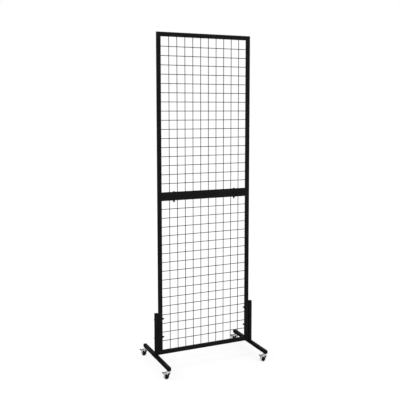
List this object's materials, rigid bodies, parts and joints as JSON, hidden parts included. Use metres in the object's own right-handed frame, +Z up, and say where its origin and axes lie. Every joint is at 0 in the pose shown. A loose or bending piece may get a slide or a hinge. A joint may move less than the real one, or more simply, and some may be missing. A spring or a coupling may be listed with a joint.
{
  "type": "wire grid display stand",
  "caption": "Free-standing black wire grid display stand: framed mesh panels bolted one above the other, on T-shaped legs that roll on braked swivel casters.",
  "frame": {"origin": "on the floor, under the middle of the panels and midway between the four casters", "axes": "+Z up, X along the panels with +X to the viewer's right, -Y towards the viewer"},
  "size_m": [0.6776, 0.418, 1.955],
  "materials": {
    "powder_coat": "black powder coat, semi-gloss with fine orange peel",
    "black_fasteners": "black coated steel, semi-gloss",
    "black_plastic": "fine moulded texture",
    "zinc_plate": "bright zinc plate over pressed steel",
    "coated_fork": "bright zinc plate on the crown and ears, black below on the legs",
    "bearing_steel": "ground and polished",
    "grey_tread": "light grey soft tread, fine satin"
  },
  "bodies": {
    "stand": {"lower_bottom_rail": "powder_coat", "lower_top_rail": "powder_coat", "lower_left_stile": "powder_coat", "lower_right_stile": "powder_coat", "lower_vertical_wires": "powder_coat", "lower_horizontal_wires": "powder_coat", "upper_bottom_rail": "powder_coat", "upper_top_rail": "powder_coat", "upper_left_stile": "powder_coat", "upper_right_stile": "powder_coat", "upper_vertical_wires": "powder_coat", "upper_horizontal_wires": "powder_coat", "panel_joint_bolts": "black_fasteners", "panel_joint_washers": "black_fasteners", "panel_joint_cap_nuts": "black_fasteners", "leg_bolts": "black_fasteners", "leg_washers": "black_fasteners", "leg_cap_nuts": "black_fasteners", "leg_spacers": "black_plastic", "left_upright": "powder_coat", "right_upright": "powder_coat", "left_base_bar": "powder_coat", "right_base_bar": "powder_coat", "base_bar_plugs": "black_plastic", "upright_plugs": "black_plastic", "caster_stems": "zinc_plate", "caster_upper_races": "zinc_plate", "caster_race_balls": "bearing_steel", "caster_weld_nuts": "zinc_plate"},
    "front_left_swivel": {"front_left_fork": "coated_fork", "front_left_axle": "black_fasteners", "front_left_brake_pin": "zinc_plate"},
    "front_left_wheel": {"front_left_hub": "black_plastic", "front_left_tyre": "grey_tread"},
    "front_left_brake": {"front_left_brake_lever": "zinc_plate", "front_left_brake_cap": "black_plastic"},
    "front_right_swivel": {"front_right_fork": "coated_fork", "front_right_axle": "black_fasteners", "front_right_brake_pin": "zinc_plate"},
    "front_right_wheel": {"front_right_hub": "black_plastic", "front_right_tyre": "grey_tread"},
    "front_right_brake": {"front_right_brake_lever": "zinc_plate", "front_right_brake_cap": "black_plastic"},
    "back_left_swivel": {"back_left_fork": "coated_fork", "back_left_axle": "black_fasteners", "back_left_brake_pin": "zinc_plate"},
    "back_left_wheel": {"back_left_hub": "black_plastic", "back_left_tyre": "grey_tread"},
    "back_left_brake": {"back_left_brake_lever": "zinc_plate", "back_left_brake_cap": "black_plastic"},
    "back_right_swivel": {"back_right_fork": "coated_fork", "back_right_axle": "black_fasteners", "back_right_brake_pin": "zinc_plate"},
    "back_right_wheel": {"back_right_hub": "black_plastic", "back_right_tyre": "grey_tread"},
    "back_right_brake": {"back_right_brake_lever": "zinc_plate", "back_right_brake_cap": "black_plastic"}
  },
  "joints": [
    {"name": "front_left_swivel_turn", "type": "hinge", "parent": "stand", "child": "front_left_swivel", "pos_m": [-0.3125, -0.192, 0.05], "axis": [0, 0, 1], "continuous": true},
    {"name": "front_left_wheel_roll", "type": "hinge", "parent": "front_left_swivel", "child": "front_left_wheel", "pos_m": [-0.3255, -0.192, 0.016], "axis": [0, 1, 0], "continuous": true},
    {"name": "front_left_brake_press", "type": "hinge", "parent": "front_left_swivel", "child": "front_left_brake", "pos_m": [-0.3375, -0.192, 0.0356], "axis": [0, -1, 0], "range_deg": [0, 30]},
    {"name": "front_right_swivel_turn", "type": "hinge", "parent": "stand", "child": "front_right_swivel", "pos_m": [0.3125, -0.192, 0.05], "axis": [0, 0, 1], "continuous": true},
    {"name": "front_right_wheel_roll", "type": "hinge", "parent": "front_right_swivel", "child": "front_right_wheel", "pos_m": [0.2995, -0.192, 0.016], "axis": [0, 1, 0], "continuous": true},
    {"name": "front_right_brake_press", "type": "hinge", "parent": "front_right_swivel", "child": "front_right_brake", "pos_m": [0.2875, -0.192, 0.0356], "axis": [0, -1, 0], "range_deg": [0, 30]},
    {"name": "back_left_swivel_turn", "type": "hinge", "parent": "stand", "child": "back_left_swivel", "pos_m": [-0.3125, 0.192, 0.05], "axis": [0, 0, 1], "continuous": true},
    {"name": "back_left_wheel_roll", "type": "hinge", "parent": "back_left_swivel", "child": "back_left_wheel", "pos_m": [-0.3255, 0.192, 0.016], "axis": [0, 1, 0], "continuous": true},
    {"name": "back_left_brake_press", "type": "hinge", "parent": "back_left_swivel", "child": "back_left_brake", "pos_m": [-0.3375, 0.192, 0.0356], "axis": [0, -1, 0], "range_deg": [0, 30]},
    {"name": "back_right_swivel_turn", "type": "hinge", "parent": "stand", "child": "back_right_swivel", "pos_m": [0.3125, 0.192, 0.05], "axis": [0, 0, 1], "continuous": true},
    {"name": "back_right_wheel_roll", "type": "hinge", "parent": "back_right_swivel", "child": "back_right_wheel", "pos_m": [0.2995, 0.192, 0.016], "axis": [0, 1, 0], "continuous": true},
    {"name": "back_right_brake_press", "type": "hinge", "parent": "back_right_swivel", "child": "back_right_brake", "pos_m": [0.2875, 0.192, 0.0356], "axis": [0, -1, 0], "range_deg": [0, 30]}
  ]
}
